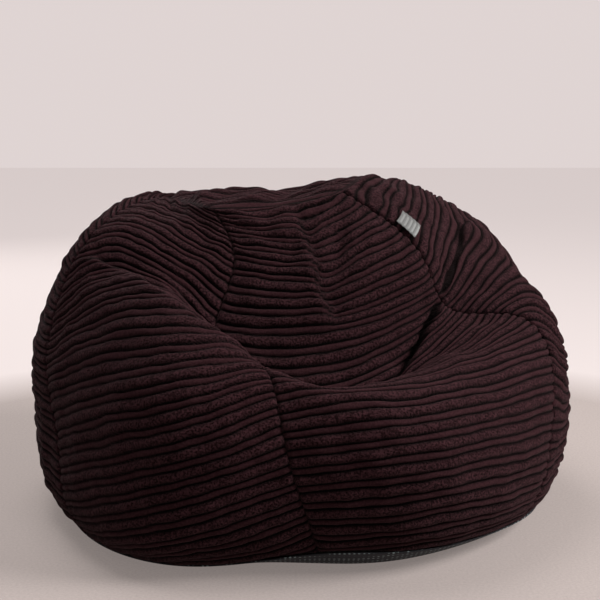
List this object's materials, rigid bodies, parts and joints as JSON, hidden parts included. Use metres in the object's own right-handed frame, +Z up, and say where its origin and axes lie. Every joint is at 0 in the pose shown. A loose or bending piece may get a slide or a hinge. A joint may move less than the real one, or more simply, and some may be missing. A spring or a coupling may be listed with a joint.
{
  "type": "bean bag chair",
  "caption": "Slumped bean bag chair in brown wide-wale corduroy: curved side gores, a hexagonal top panel and a dotted non-slip base, pushed into a seat with a back and arms.",
  "frame": {"origin": "on the floor under the middle of the bag's footprint", "axes": "+Z up, -Y towards the front of the seat, +X towards the right arm as seen from the front"},
  "size_m": [0.8506, 0.8606, 0.519],
  "materials": {
    "corduroy": "deep-pile wide and narrow wale corduroy",
    "base_fabric": "tightly woven with raised grip dots",
    "label_fabric": "woven satin tape",
    "care_fabric": "smooth printed tape",
    "cover_zip_tape": "woven zip tape",
    "liner_zip_tape": "woven zip tape",
    "zip_teeth": "moulded",
    "zip_metal": "satin",
    "liner_fabric": "plain woven polyester",
    "beads": "expanded polystyrene beads"
  },
  "bodies": {
    "bean_bag": {"gore_front_right": "corduroy", "gore_right": "corduroy", "gore_back_right": "corduroy", "gore_back_left": "corduroy", "gore_left": "corduroy", "gore_front_left": "corduroy", "top_panel": "corduroy", "base_panel_front": "base_fabric", "base_panel_back": "base_fabric", "seam_label": "label_fabric", "care_label": "care_fabric", "cover_zip_tape_front": "cover_zip_tape", "cover_zip_tape_back": "cover_zip_tape", "cover_zip_teeth_front": "zip_teeth", "cover_zip_teeth_back": "zip_teeth", "cover_zip_stop_left": "zip_teeth", "cover_zip_stop_right": "zip_teeth", "liner_right": "liner_fabric", "liner_left": "liner_fabric", "liner_top": "liner_fabric", "liner_base_front": "liner_fabric", "liner_base_back": "liner_fabric", "liner_zip_tape_front": "liner_zip_tape", "liner_zip_tape_back": "liner_zip_tape", "liner_zip_teeth_front": "zip_teeth", "liner_zip_teeth_back": "zip_teeth", "liner_zip_stop_left": "zip_teeth", "liner_zip_stop_right": "zip_teeth", "bead_filling": "beads"},
    "cover_zip_pull": {"cover_zip_slider": "zip_metal"},
    "liner_zip_pull": {"liner_zip_slider": "zip_metal"}
  },
  "joints": [
    {"name": "cover_zip_slide", "type": "slide", "parent": "bean_bag", "child": "cover_zip_pull", "axis": [-1, 0, 0], "range_m": [0, 0.385]},
    {"name": "liner_zip_slide", "type": "slide", "parent": "bean_bag", "child": "liner_zip_pull", "axis": [-1, 0, 0], "range_m": [0, 0.265]}
  ]
}
